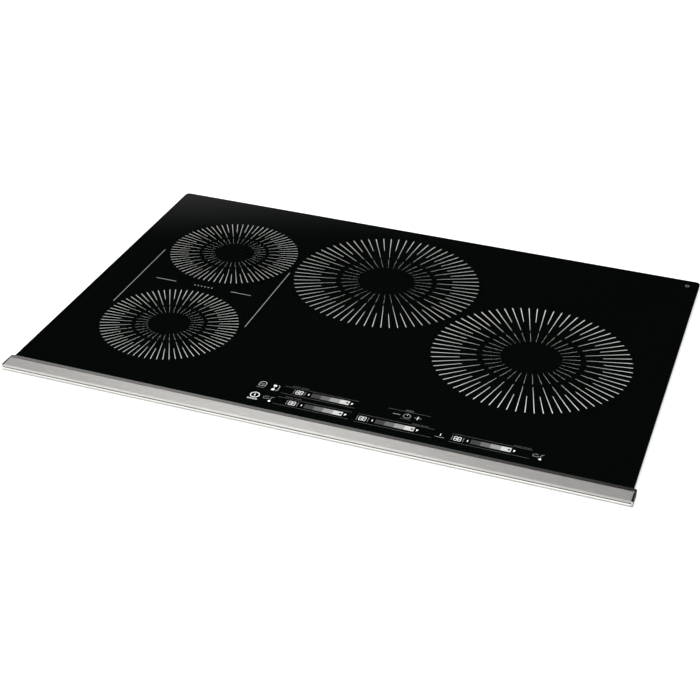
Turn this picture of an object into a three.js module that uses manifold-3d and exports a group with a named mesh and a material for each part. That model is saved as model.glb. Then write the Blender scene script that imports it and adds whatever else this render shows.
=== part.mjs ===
// Drop-in electric induction cooktop, 30 inch class: four zones on black ceramic glass, the two on the
// left able to bridge, touch controls at the front and a stainless front trim.
// Millimetres, +X right, +Y to the back, +Z up. The origin is under the middle of the burner box.
import * as THREE from "three";
import { mergeVertices } from "three/addons/utils/BufferGeometryUtils.js";
import Module from "manifold-3d";

const wasm = await Module();
wasm.setup();

// ---- Driving dimensions ----
const GAP = 0.3; // between pieces that touch
const PAST = 1; // how far a cut runs past the faces it goes through, and a joined piece into its neighbour

const GLASS_WIDTH = 778;
const OVERALL_DEPTH = 538; // from the rear edge of the glass to the face of the front trim
const GLASS_THICKNESS = 4;
const GLASS_CORNER = 6;

const BOX_DROP = 94; // how far the burner box hangs below the worktop
const SIDE_OVERHANG = 26; // glass beyond the burner box, left and right
const END_OVERHANG = 22; // glass and trim beyond the burner box, front and rear
const BOX_CORNER = 12;
const SHEET = 1.2; // sheet metal of the burner box

const GASKET_THICKNESS = 2;
const GASKET_WIDTH = 9;
const GASKET_IN = 2.5; // clear of the burner box
const FRAME_SHEET = 1; // steel of the frame under the glass
const FRAME_FLANGE = 12;
const FRAME_LEG = 14;

const TRIM_WIDTH = 26; // front to back
const TRIM_WALL = 3.7; // end returns beyond the glass
const TRIM_BEZEL = 2.3; // what shows of them beside the plate
const TRIM_BORDER = 6; // sloped rear border
const TRIM_SHEET = 0.8;
const TRIM_LIP = 1; // under the glass
const LIP_TO_GASKET = 1.5; // between the lip and the seal
const TRIM_ROLL = 2.2; // radius of the rolled front edge
const TRIM_APRON = 2.5; // how far the rolled edge comes down
const TRIM_REVEAL = 0.5; // dark joint lines, and the trim's clearance over the worktop
const TRIM_GROOVE = 0.9; // joint line under the rolled edge
const TRIM_CORNER = 3; // rear corners

// Zones. Places are the coil centres, measured in from the edges of the glass.
const SMALL_ZONE = 180; // printed diameters
const LARGE_ZONE = 254;
const LEFT_ZONES_IN = 145; // middles of the left zones, from the left edge of the glass
const RIGHT_MARGIN = 45; // from the large circles to the edge of the glass
const REAR_MARGIN = 29;
const LEFT_PAIR_Y = 6.5; // middle of the two left zones, behind the middle of the cooktop
const BRIDGE_GAP = 33; // between them
const CENTRE_GAP = 9.6; // between the left zones and the centre one, across the glass
const RIGHT_ZONE_PITCH = 125; // right front zone forward of the rear zones
const COIL_INSET = 9; // winding inside the printed circle

// Coil stack, from the glass down
const MICA_THICKNESS = 0.8;
const WINDING_THICKNESS = 5;
const SUPPORT_THICKNESS = 2.5;
const FERRITE_THICKNESS = 4;
const TRAY_SHEET = 1.2;
const SUPPORT_RIM = 3; // outside the winding
const COIL_HOLE = 19; // radius of the middle, where the sensor stands
const SENSOR_RADIUS = 7;
const SENSOR_TIP_RADIUS = 5;
const SENSOR_CLEARANCE = 1;
const FERRITE_BARS = 8;
const FERRITE_WIDTH = 12;
const FERRITE_SETBACK = 4; // bars end inside the winding
const FERRITE_HUB = 10; // width of the ring that the bars meet
const TRAY_LIP = 8; // folded down round each tray
const TRAY_CLEARANCE = 3;

// Electronics
const BOARD_THICKNESS = 1.6;
const BOARD_HEIGHT = 12; // above the floor of the box
const BOARD_WIDTH = 180;
const BOARD_LENGTH = 250;
const BOARD_IN = 22; // from the side wall of the box
const BOARD_FRONT_IN = 96; // from the front wall of the box
const FILTER_WIDTH = 150;
const FILTER_LENGTH = 120;
const CHOKE_RADIUS = 18;
const CHOKE_THICKNESS = 7;
const SINK_WIDTH = 52;
const SINK_LENGTH = 150;
const SINK_HEIGHT = 38;
const SINK_BASE = 5;
const SINK_FINS = 8;
const FIN_THICKNESS = 1.6;
const SINK_IN = 20; // from the edge of the board
const CAPACITOR_WIDTH = 30;
const CAPACITOR_LENGTH = 58;
const CAPACITOR_HEIGHT = 36;
const CAPACITOR_CORNER = 2;
const POST_RADIUS = 4;
const BOARD_POST_IN = 8; // from the corners of a board
const TRAY_POST_IN = 12;
const CARRIER_POST_IN = 33; // from the ends of the control board
const CONTROL_WIDTH = 396; // touch control board
const CONTROL_DEPTH = 58;
const CONTROL_X = 98; // its middle, from the middle of the glass
const CONTROL_IN = 36; // its middle, from the front wall of the box
const CONTROL_DROP = 6; // sensor springs between the board and the glass

// Mains connection
const GLAND_X = -60;
const GLAND_HEIGHT = 40;
const GLAND_RADIUS = 14;
const GLAND_BORE = 9;
const GLAND_FLANGE = 4; // thickness
const GLAND_RIM = 4; // wider than the barrel
const GLAND_REACH = 12; // behind the box
const TERMINAL_WIDTH = 78;
const TERMINAL_LENGTH = 30;
const TERMINAL_HEIGHT = 24;
const TERMINAL_POLES = 4;
const TERMINAL_WELL = 6.5; // radius over each pole
const TERMINAL_BACK = 28; // from the rear wall of the box
const COVER_X = 60;
const COVER_WIDTH = 120;
const COVER_HEIGHT = 50;
const COVER_CENTRE = 45; // above the floor
const COVER_LAP = 8; // round the opening that it closes

// Fans
const FAN_SIZE = 92;
const FAN_DEPTH = 25;
const FAN_WALL = 2.5;
const FAN_HUB = 19;
const FAN_BLADES = 7;
const BLADE_THICKNESS = 1.6;
const BLADE_PITCH = 38; // degrees
const FAN_CLEARANCE = 2; // running clearance
const FAN_REAR_CLEAR = 8; // from the rear wall of the box
const FAN_SIDE_CLEAR = 66; // and from its side wall
const GRILLE_SLOTS = 9;
const VENT_SLOT = 4;
const VENT_RIB = 5;
const VENT_HEIGHT = 34;
const VENT_LOW = 18; // bottom of the wall vents, above the floor
const VENT_SLOTS = 10; // in each group
const VENT_GROUP_IN = 150; // middle of a group, from the side wall

// Clamps
const CLAMP_SHEET = 2;
const CLAMP_HEIGHT = 38; // its arm, above the floor of the box
const CLAMP_WIDTH = 30;
const CLAMP_REACH = 29;
const CLAMP_LEG = 30;
const CLAMP_SCREW_RADIUS = 4;
const CLAMP_PIN_RADIUS = 2.6; // tip that turns in the foot
const CLAMP_PIN = 3;
const CLAMP_HEAD = 6;
const CLAMP_HEAD_RADIUS = 6.5;
const CLAMP_TRAVEL = 25;
const CLAMP_FOOT_RADIUS = 8;
const CLAMP_FOOT_THICKNESS = 5;
const CLAMP_SCREW_IN = 9; // from the end of the arm

// Small screws
const SCREW_RADIUS = 1.8;
const SCREW_HEAD_RADIUS = 3.6;
const SCREW_HEAD = 1.8;
const SCREW_LENGTH = 8;
const BOX_SCREW_Y = 150; // either side of the middle

// ---- Places worked out from them ----
const GLASS_HALF = GLASS_WIDTH / 2;
const FRONT = -OVERALL_DEPTH / 2;
const REAR = OVERALL_DEPTH / 2;
const GLASS_BOTTOM = BOX_DROP + GASKET_THICKNESS + GAP;
const GLASS_TOP = GLASS_BOTTOM + GLASS_THICKNESS;
const GLASS_FRONT = FRONT + TRIM_SHEET + 2 * GAP + TRIM_SHEET;

const BOX_HALF = GLASS_HALF - SIDE_OVERHANG;
const BOX_FRONT = FRONT + END_OVERHANG;
const BOX_REAR = REAR - END_OVERHANG;
const BOX_TOP = GLASS_BOTTOM - FRAME_SHEET - 2 * GAP;
const INNER_HALF = BOX_HALF - SHEET;
const INNER_FRONT = BOX_FRONT + SHEET;
const INNER_REAR = BOX_REAR - SHEET;

const FRAME_TOP = GLASS_BOTTOM - GAP;
const FRAME_HALF = INNER_HALF - GAP;
const FRAME_FRONT = INNER_FRONT + GAP;
const FRAME_REAR = INNER_REAR - GAP;

const SMALL = SMALL_ZONE / 2;
const LARGE = LARGE_ZONE / 2;
const LEFT_ZONE_X = LEFT_ZONES_IN - GLASS_HALF;
const CENTRE_ZONE_X = LEFT_ZONE_X + SMALL + CENTRE_GAP + LARGE;
const RIGHT_ZONE_X = GLASS_HALF - RIGHT_MARGIN - LARGE;
const REAR_ZONE_Y = REAR - REAR_MARGIN - LARGE;
const PAIR_REACH = (SMALL_ZONE + BRIDGE_GAP) / 2;
const ZONES = [
  { name: "left_rear", radius: SMALL, x: LEFT_ZONE_X, y: LEFT_PAIR_Y + PAIR_REACH },
  { name: "left_front", radius: SMALL, x: LEFT_ZONE_X, y: LEFT_PAIR_Y - PAIR_REACH },
  { name: "centre_rear", radius: LARGE, x: CENTRE_ZONE_X, y: REAR_ZONE_Y },
  { name: "right_front", radius: LARGE, x: RIGHT_ZONE_X, y: REAR_ZONE_Y - RIGHT_ZONE_PITCH },
];

const MICA_TOP = GLASS_BOTTOM - 2 * GAP;
const WINDING_TOP = MICA_TOP - MICA_THICKNESS - GAP;
const SUPPORT_TOP = WINDING_TOP - WINDING_THICKNESS - GAP;
const FERRITE_TOP = SUPPORT_TOP - SUPPORT_THICKNESS - GAP;
const TRAY_TOP = FERRITE_TOP - FERRITE_THICKNESS - GAP;
const TRAY_BOTTOM = TRAY_TOP - TRAY_SHEET;
const TRAY_SPLIT = LEFT_ZONE_X + SMALL + CENTRE_GAP / 2;

const BOARD_BOTTOM = SHEET + BOARD_HEIGHT;
const CONTROL_TOP = GLASS_BOTTOM - CONTROL_DROP;
const CONTROL_Y = INNER_FRONT + CONTROL_IN;

// ---- Finishes ----
function finish(color, roughness, metalness) {
  return new THREE.MeshStandardMaterial({ color, roughness, metalness });
}
const BLACK_GLASS = finish("#050607", 0.08, 0);
const POLISHED = finish("#c9cacb", 0.18, 1);
const BRUSHED = finish("#b9b8b6", 0.32, 1);
const FOAM = finish("#1a1a1b", 0.95, 0);
const STEEL = finish("#8f9396", 0.42, 1);
const ZINC = finish("#a7abad", 0.35, 1);
const ALUMINIUM = finish("#b3b5b7", 0.4, 1);
const COPPER = finish("#b0663a", 0.45, 1);
const FERRITE = finish("#2a2a2c", 0.7, 0);
const MICA = finish("#cfc7b4", 0.6, 0);
const BLACK_PLASTIC = finish("#17181a", 0.5, 0);
const BOARD_GREEN = finish("#1f5a36", 0.5, 0);
const CAPACITOR = finish("#c8a02c", 0.5, 0);

// ---- Helpers ----
const model = new THREE.Group();

function add(name, geometry, material, parent = model) {
  const mesh = new THREE.Mesh(geometry, material);
  mesh.name = name;
  parent.add(mesh);
  return mesh;
}

function solid(geometry) {
  const bare = geometry.clone();
  bare.deleteAttribute("normal");
  bare.deleteAttribute("uv");
  const merged = mergeVertices(bare, 1e-4);
  return new wasm.Manifold(
    new wasm.Mesh({
      numProp: 3,
      vertProperties: Float32Array.from(merged.attributes.position.array),
      triVerts: Uint32Array.from(merged.index.array),
    }),
  );
}

function geometryOf(manifold) {
  const mesh = manifold.getMesh();
  const geometry = new THREE.BufferGeometry();
  geometry.setAttribute("position", new THREE.BufferAttribute(mesh.vertProperties, 3));
  geometry.setIndex(new THREE.BufferAttribute(mesh.triVerts, 1));
  geometry.computeVertexNormals();
  return geometry;
}

// One body made of the first geometry, the others joined to it and then the tools cut out of it.
function shaped(bodies, tools = []) {
  const joined = bodies.map(solid).reduce((whole, piece) => whole.add(piece));
  return geometryOf(tools.map(solid).reduce((left, tool) => left.subtract(tool), joined));
}

function box(x0, x1, y0, y1, z0, z1) {
  const geometry = new THREE.BoxGeometry(x1 - x0, y1 - y0, z1 - z0);
  return geometry.translate((x0 + x1) / 2, (y0 + y1) / 2, (z0 + z1) / 2);
}

// A round bar standing on end.
function rod(x, y, radius, z0, z1, sides = 24) {
  const geometry = new THREE.CylinderGeometry(radius, radius, z1 - z0, sides);
  return geometry.rotateX(Math.PI / 2).translate(x, y, (z0 + z1) / 2);
}

// A round bar lying along X or along Y.
function rodAlongX(x0, x1, y, z, radius, sides = 16) {
  const geometry = new THREE.CylinderGeometry(radius, radius, x1 - x0, sides);
  return geometry.rotateZ(Math.PI / 2).translate((x0 + x1) / 2, y, z);
}

function rodAlongY(x, y0, y1, z, radius, sides = 16) {
  const geometry = new THREE.CylinderGeometry(radius, radius, y1 - y0, sides);
  return geometry.translate(x, (y0 + y1) / 2, z);
}

function outline(Kind, x0, x1, y0, y1, radius) {
  const path = new Kind();
  path.moveTo(x0 + radius, y0);
  path.lineTo(x1 - radius, y0);
  path.absarc(x1 - radius, y0 + radius, radius, -Math.PI / 2, 0);
  path.lineTo(x1, y1 - radius);
  path.absarc(x1 - radius, y1 - radius, radius, 0, Math.PI / 2);
  path.lineTo(x0 + radius, y1);
  path.absarc(x0 + radius, y1 - radius, radius, Math.PI / 2, Math.PI);
  path.lineTo(x0, y0 + radius);
  path.absarc(x0 + radius, y0 + radius, radius, Math.PI, 1.5 * Math.PI);
  return path;
}

function extruded(shape, z0, z1, curveSegments = 3) {
  const geometry = new THREE.ExtrudeGeometry(shape, { depth: z1 - z0, bevelEnabled: false, curveSegments });
  return geometry.translate(0, 0, z0);
}

const roundedSlab = (x0, x1, y0, y1, z0, z1, radius) =>
  extruded(outline(THREE.Shape, x0, x1, y0, y1, radius), z0, z1);

// A flat ring between two rounded rectangles, or between two circles.
function rectangularRing(x0, x1, y0, y1, z0, z1, radius, width) {
  const shape = outline(THREE.Shape, x0, x1, y0, y1, radius);
  const inner = Math.max(radius - width, 1);
  shape.holes.push(outline(THREE.Path, x0 + width, x1 - width, y0 + width, y1 - width, inner));
  return extruded(shape, z0, z1);
}

function ring(outer, inner, z0, z1, sides = 32) {
  const shape = new THREE.Shape().absarc(0, 0, outer, 0, 2 * Math.PI);
  shape.holes.push(new THREE.Path().absarc(0, 0, inner, 0, 2 * Math.PI, true));
  return extruded(shape, z0, z1, sides / 2); // a full circle takes two steps for each segment
}

// A profile in Y and Z, drawn out along X.
function drawnAlongX(profile, x0, x1, curveSegments = 4) {
  const geometry = new THREE.ExtrudeGeometry(profile, { depth: x1 - x0, bevelEnabled: false, curveSegments });
  return geometry.rotateX(Math.PI / 2).rotateZ(Math.PI / 2).translate(x0, 0, 0);
}

// ---- Glass and front trim ----
function glassTop() {
  const sides = [-GLASS_HALF, GLASS_HALF];
  const plate = roundedSlab(...sides, GLASS_FRONT, REAR, GLASS_BOTTOM, GLASS_TOP, GLASS_CORNER);
  add("glass_top", plate, BLACK_GLASS);
}

function frontTrim() {
  const plateTop = GLASS_TOP + GAP + TRIM_SHEET;
  const apronBottom = plateTop - TRIM_APRON;
  const baseBottom = BOX_DROP + TRIM_REVEAL;
  const half = GLASS_HALF + GAP + TRIM_WALL;
  const plateHalf = half - TRIM_BEZEL - TRIM_REVEAL;
  const rear = FRONT + TRIM_WIDTH;
  const plateRear = rear - TRIM_BORDER - TRIM_REVEAL;

  // Bezel: a rounded bar with a sloped rear border and ends, cut out for the plate and the glass.
  const section = new THREE.Shape();
  section.moveTo(FRONT + TRIM_LIP, baseBottom);
  section.lineTo(FRONT, baseBottom + TRIM_LIP);
  section.lineTo(FRONT, plateTop);
  section.lineTo(rear - TRIM_BORDER, plateTop);
  section.lineTo(rear, GLASS_TOP + 2 * GAP);
  section.lineTo(rear, baseBottom);
  // Only the rear corners are rounded, so the footprint runs past the front by one radius.
  const footprint = roundedSlab(-half, half, FRONT - TRIM_CORNER, rear, baseBottom, plateTop, TRIM_CORNER);
  const endSlope = new THREE.Shape();
  endSlope.moveTo(-half, baseBottom);
  endSlope.lineTo(half, baseBottom);
  endSlope.lineTo(half, plateTop - TRIM_SHEET);
  endSlope.lineTo(half - TRIM_SHEET, plateTop);
  endSlope.lineTo(-half + TRIM_SHEET, plateTop);
  endSlope.lineTo(-half, plateTop - TRIM_SHEET);
  const ends = new THREE.ExtrudeGeometry(endSlope, { depth: TRIM_WIDTH, bevelEnabled: false });
  ends.rotateX(Math.PI / 2).translate(0, rear, 0);
  const bar = solid(drawnAlongX(section, -half, half)).intersect(solid(footprint)).intersect(solid(ends));
  const windowHalf = plateHalf + TRIM_REVEAL;
  const plateWindow = box(-windowHalf, windowHalf, FRONT - PAST, plateRear + TRIM_REVEAL,
    apronBottom - TRIM_GROOVE, plateTop + PAST);
  const inner = GLASS_HALF + GAP;
  const lipTop = baseBottom + TRIM_LIP;
  const glassSlot = box(-inner, inner, GLASS_FRONT - GAP, rear + PAST, lipTop, GLASS_TOP + GAP);
  const lipRear = BOX_FRONT - GASKET_IN - GASKET_WIDTH - LIP_TO_GASKET;
  const underGlass = box(-inner, inner, lipRear, rear + PAST, baseBottom - PAST, lipTop + PAST);
  // The end returns stay solid beside the glass, below the plate.
  const returns = [-1, 1].map((side) => {
    const [x0, x1] = [side * inner, side * (half - TRIM_SHEET)].sort((a, b) => a - b);
    return box(x0, x1, GLASS_FRONT, plateRear, apronBottom - PAST, GLASS_TOP);
  });
  const tools = [plateWindow, glassSlot, underGlass].map(solid);
  const bezel = tools.reduce((left, tool) => left.subtract(tool), bar);
  const whole = returns.map(solid).reduce((joined, piece) => joined.add(piece), bezel);
  add("front_trim", geometryOf(whole), POLISHED);

  // Plate: a brushed strip, rolled over at the front.
  const plate = new THREE.Shape();
  plate.moveTo(FRONT, apronBottom);
  plate.lineTo(FRONT, plateTop - TRIM_ROLL);
  plate.absarc(FRONT + TRIM_ROLL, plateTop - TRIM_ROLL, TRIM_ROLL, Math.PI, Math.PI / 2, true);
  plate.lineTo(plateRear, plateTop);
  plate.lineTo(plateRear, plateTop - TRIM_SHEET);
  plate.lineTo(FRONT + TRIM_ROLL, plateTop - TRIM_SHEET);
  plate.absarc(FRONT + TRIM_ROLL, plateTop - TRIM_ROLL, TRIM_ROLL - TRIM_SHEET, Math.PI / 2, Math.PI, false);
  plate.lineTo(FRONT + TRIM_SHEET, apronBottom);
  add("trim_plate", drawnAlongX(plate, -plateHalf, plateHalf), BRUSHED);
}

// ---- Seal, frame and burner box ----
function sealGasket() {
  const out = GASKET_IN + GASKET_WIDTH;
  const geometry = rectangularRing(-BOX_HALF - out, BOX_HALF + out, BOX_FRONT - out, BOX_REAR + out,
    BOX_DROP, BOX_DROP + GASKET_THICKNESS, BOX_CORNER + out, GASKET_WIDTH);
  add("seal_gasket", geometry, FOAM);
}

const SCREW_Z = FRAME_TOP - FRAME_LEG / 2;
const SIDES = [
  { name: "left", side: -1 },
  { name: "right", side: 1 },
];

// A front and a rear screw on each side of the box, as far as reach from the middle.
function screwPlaces(reach, z) {
  return SIDES.flatMap(({ name, side }) => [
    { name: name + "_front", side, y: -reach, z },
    { name: name + "_rear", side, y: reach, z },
  ]);
}

const boxScrewPlaces = screwPlaces(BOX_SCREW_Y, SCREW_Z);
const bracketScrewPlaces = screwPlaces(CLAMP_WIDTH / 4, CLAMP_HEIGHT - CLAMP_LEG / 2);

// A bar along X through a side wall, for a screw's shaft or its hole.
function throughSide({ side, y, z }, radius, from, to) {
  const [x0, x1] = [side * from, side * to].sort((a, b) => a - b);
  return rodAlongX(x0, x1, y, z, radius, 10);
}

const screwHole = (place) =>
  throughSide(place, SCREW_RADIUS + GAP, FRAME_HALF - 2 * SCREW_LENGTH, BOX_HALF + SCREW_LENGTH);

function screw(name, place, seat) {
  const head = throughSide(place, SCREW_HEAD_RADIUS, seat + GAP, seat + GAP + SCREW_HEAD);
  const shaft = throughSide(place, SCREW_RADIUS, seat + GAP - SCREW_LENGTH, seat + GAP + SCREW_HEAD / 2);
  add(name, shaped([head, shaft]), ZINC);
}

function glassFrame() {
  const corner = BOX_CORNER - SHEET - GAP;
  const ringAt = (z0, z1, width) =>
    rectangularRing(-FRAME_HALF, FRAME_HALF, FRAME_FRONT, FRAME_REAR, z0, z1, corner, width);
  const flange = ringAt(FRAME_TOP - FRAME_SHEET, FRAME_TOP, FRAME_FLANGE);
  const leg = ringAt(FRAME_TOP - FRAME_LEG, FRAME_TOP, FRAME_SHEET);
  add("glass_frame", shaped([flange, leg], boxScrewPlaces.map(screwHole)), STEEL);
}

const fanPlaces = SIDES.map(({ name, side }) => ({
  name,
  x: side * (INNER_HALF - FAN_SIDE_CLEAR - FAN_SIZE / 2),
  y: INNER_REAR - FAN_REAR_CLEAR - FAN_SIZE / 2,
}));
const FAN_BORE = FAN_SIZE / 2 - FAN_WALL;

// Slots in the floor under a fan, each as long as the round opening is wide there.
function grilleSlots({ x, y }) {
  const pitch = VENT_SLOT + VENT_RIB;
  return Array.from({ length: GRILLE_SLOTS }, (_, i) => {
    const off = (i - (GRILLE_SLOTS - 1) / 2) * pitch;
    const reach = Math.sqrt(FAN_BORE ** 2 - (Math.abs(off) + VENT_SLOT / 2) ** 2) - VENT_SLOT / 2;
    return box(x - reach, x + reach, y + off - VENT_SLOT / 2, y + off + VENT_SLOT / 2, -PAST, SHEET + PAST);
  });
}

// Upright slots through the front and rear walls.
function wallVents() {
  const pitch = VENT_SLOT + VENT_RIB;
  const middles = [VENT_GROUP_IN - INNER_HALF, INNER_HALF - VENT_GROUP_IN];
  const walls = [
    [BOX_FRONT - PAST, INNER_FRONT + PAST],
    [INNER_REAR - PAST, BOX_REAR + PAST],
  ];
  return middles.flatMap((middle) =>
    walls.flatMap(([y0, y1]) =>
      Array.from({ length: VENT_SLOTS }, (_, i) => {
        const x = middle + (i - (VENT_SLOTS - 1) / 2) * pitch;
        return box(x - VENT_SLOT / 2, x + VENT_SLOT / 2, y0, y1, VENT_LOW, VENT_LOW + VENT_HEIGHT);
      }),
    ),
  );
}

const TRAY_HALF = FRAME_HALF - FRAME_SHEET - TRAY_CLEARANCE;
const TRAY_REAR = FRAME_REAR - FRAME_SHEET - TRAY_CLEARANCE;
const CARRIER_WALL = 3;
const trays = [
  {
    name: "left",
    x0: -TRAY_HALF,
    x1: TRAY_SPLIT - TRAY_CLEARANCE / 2,
    y0: FRAME_FRONT + FRAME_SHEET + TRAY_CLEARANCE,
    zones: ZONES.slice(0, 2),
  },
  {
    name: "right",
    x0: TRAY_SPLIT + TRAY_CLEARANCE / 2,
    x1: TRAY_HALF,
    y0: CONTROL_Y + CONTROL_DEPTH / 2 + CARRIER_WALL + 2 * TRAY_CLEARANCE,
    zones: ZONES.slice(2),
  },
];

const boards = SIDES.map(({ name, side }) => ({
  name,
  x: side * (INNER_HALF - BOARD_IN - BOARD_WIDTH / 2),
  y: INNER_FRONT + BOARD_FRONT_IN + BOARD_LENGTH / 2,
  width: BOARD_WIDTH,
  length: BOARD_LENGTH,
}));
const filterBoard = {
  x: 0,
  y: INNER_FRONT + BOARD_FRONT_IN + FILTER_LENGTH / 2,
  width: FILTER_WIDTH,
  length: FILTER_LENGTH,
};

const edgesOf = ({ x, y, width, length }) => [x - width / 2, x + width / 2, y - length / 2, y + length / 2];

// Four posts in from the corners of a rectangle, from the floor of the box up.
function cornerPosts(x0, x1, y0, y1, inset, top) {
  return [x0 + inset, x1 - inset].flatMap((x) =>
    [y0 + inset, y1 - inset].map((y) => rod(x, y, POST_RADIUS, SHEET / 2, top, 8)),
  );
}

function burnerBox() {
  const shell = roundedSlab(-BOX_HALF, BOX_HALF, BOX_FRONT, BOX_REAR, 0, BOX_TOP, BOX_CORNER);
  const inside = roundedSlab(-INNER_HALF, INNER_HALF, INNER_FRONT, INNER_REAR, SHEET, BOX_TOP + PAST,
    BOX_CORNER - SHEET);
  const posts = [...boards, filterBoard].flatMap((board) => {
    const [x0, x1, y0, y1] = edgesOf(board);
    return cornerPosts(x0, x1, y0, y1, BOARD_POST_IN, BOARD_BOTTOM - GAP);
  });
  const trayPosts = trays.flatMap(({ x0, x1, y0 }) =>
    cornerPosts(x0, x1, y0, TRAY_REAR, TRAY_POST_IN, TRAY_BOTTOM - GAP),
  );
  const carrierPosts = [-1, 1].map((side) => {
    const x = CONTROL_X + side * (CONTROL_WIDTH / 2 - CARRIER_POST_IN);
    return rod(x, CONTROL_Y, POST_RADIUS, SHEET / 2, CARRIER_BOTTOM - GAP, 8);
  });
  const [y0, y1] = [INNER_REAR - PAST, BOX_REAR + PAST];
  const glandHole = rodAlongY(GLAND_X, y0, y1, GLAND_HEIGHT, GLAND_RADIUS + GAP, 24);
  const coverReach = COVER_WIDTH / 2 - COVER_LAP;
  const coverRise = COVER_HEIGHT / 2 - COVER_LAP;
  const coverHole = box(COVER_X - coverReach, COVER_X + coverReach, y0, y1,
    COVER_CENTRE - coverRise, COVER_CENTRE + coverRise);
  const tub = geometryOf(solid(shell).subtract(solid(inside)));
  const holes = [...fanPlaces.flatMap(grilleSlots), ...wallVents(), glandHole, coverHole,
    ...boxScrewPlaces.map(screwHole), ...bracketScrewPlaces.map(screwHole)];
  add("burner_box", shaped([tub, ...posts, ...trayPosts, ...carrierPosts], holes), STEEL);
}

// ---- Coils, one stack under each zone ----
function coilStack({ name, radius, x, y }) {
  const place = new THREE.Group();
  place.position.set(x, y, 0);
  model.add(place);
  const windingOut = radius - COIL_INSET;
  const hole = SENSOR_RADIUS + SENSOR_CLEARANCE;
  const ferriteBottom = FERRITE_TOP - FERRITE_THICKNESS;
  const hubOut = COIL_HOLE + FERRITE_HUB / 2;
  const bars = Array.from({ length: FERRITE_BARS }, (_, i) => {
    const bar = box(hubOut - PAST, windingOut - FERRITE_SETBACK, -FERRITE_WIDTH / 2, FERRITE_WIDTH / 2,
      ferriteBottom, FERRITE_TOP);
    return bar.rotateZ((i * 2 * Math.PI) / FERRITE_BARS);
  });
  const hub = ring(hubOut, hubOut - FERRITE_HUB, ferriteBottom, FERRITE_TOP);
  const sensorBody = rod(0, 0, SENSOR_RADIUS, TRAY_TOP + GAP, WINDING_TOP - PAST);
  const sensorTip = rod(0, 0, SENSOR_TIP_RADIUS, WINDING_TOP - 2 * PAST, GLASS_BOTTOM - GAP);
  const disc = (outer, inner, top, thickness) => ring(outer, inner, top - thickness, top);
  add("mica_disc_" + name, disc(windingOut, hole, MICA_TOP, MICA_THICKNESS), MICA, place);
  add("coil_winding_" + name, disc(windingOut, COIL_HOLE, WINDING_TOP, WINDING_THICKNESS), COPPER, place);
  const support = disc(windingOut + SUPPORT_RIM, hole, SUPPORT_TOP, SUPPORT_THICKNESS);
  add("coil_support_" + name, support, BLACK_PLASTIC, place);
  add("ferrite_star_" + name, shaped([hub, ...bars]), FERRITE, place);
  add("temp_sensor_" + name, shaped([sensorBody, sensorTip]), BLACK_PLASTIC, place);
}

function coilTray({ name, x0, x1, y0, zones }) {
  const corner = BOX_CORNER - TRAY_CLEARANCE;
  const lipBottom = TRAY_TOP - TRAY_LIP;
  const outer = roundedSlab(x0, x1, y0, TRAY_REAR, lipBottom, TRAY_TOP, corner);
  const under = roundedSlab(x0 + TRAY_SHEET, x1 - TRAY_SHEET, y0 + TRAY_SHEET, TRAY_REAR - TRAY_SHEET,
    lipBottom - PAST, TRAY_BOTTOM, corner - TRAY_SHEET);
  const wireHoles = zones.map((zone) =>
    rod(zone.x, zone.y, SENSOR_TIP_RADIUS, TRAY_BOTTOM - PAST, TRAY_TOP + PAST, 16),
  );
  add("coil_tray_" + name, shaped([outer], [under, ...wireHoles]), ALUMINIUM);
}

// ---- Electronics ----
const boardSlab = (board) => box(...edgesOf(board), BOARD_BOTTOM, BOARD_BOTTOM + BOARD_THICKNESS);

function powerStage(board) {
  const top = BOARD_BOTTOM + BOARD_THICKNESS + GAP;
  const side = Math.sign(board.x);
  const [x0, x1, y0, y1] = edgesOf({
    x: board.x + side * (board.width / 2 - SINK_IN - SINK_WIDTH / 2),
    y: board.y + board.length / 2 - SINK_IN - SINK_LENGTH / 2,
    width: SINK_WIDTH,
    length: SINK_LENGTH,
  });
  const pitch = (SINK_WIDTH - FIN_THICKNESS) / (SINK_FINS - 1);
  const fins = Array.from({ length: SINK_FINS }, (_, i) => {
    const x = x0 + i * pitch;
    return box(x, x + FIN_THICKNESS, y0, y1, top + PAST, top + SINK_HEIGHT);
  });
  add("power_board_" + board.name, boardSlab(board), BOARD_GREEN);
  add("heat_sink_" + board.name, shaped([box(x0, x1, y0, y1, top, top + SINK_BASE), ...fins]), ALUMINIUM);
  const capacitor = {
    x: board.x - side * (board.width / 2 - SINK_IN - CAPACITOR_WIDTH / 2),
    y: board.y,
    width: CAPACITOR_WIDTH,
    length: CAPACITOR_LENGTH,
  };
  const block = roundedSlab(...edgesOf(capacitor), top, top + CAPACITOR_HEIGHT, CAPACITOR_CORNER);
  add("bus_capacitor_" + board.name, block, CAPACITOR);
}

function mainsFilter() {
  const top = BOARD_BOTTOM + BOARD_THICKNESS + GAP;
  const choke = new THREE.TorusGeometry(CHOKE_RADIUS, CHOKE_THICKNESS, 8, 20);
  choke.translate(filterBoard.x, filterBoard.y, top + CHOKE_THICKNESS);
  add("filter_board", boardSlab(filterBoard), BOARD_GREEN);
  add("filter_choke", choke, COPPER);
}

const CARRIER_TOP = CONTROL_TOP - BOARD_THICKNESS - GAP;
const CARRIER_BOTTOM = CARRIER_TOP - CARRIER_WALL;

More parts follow.
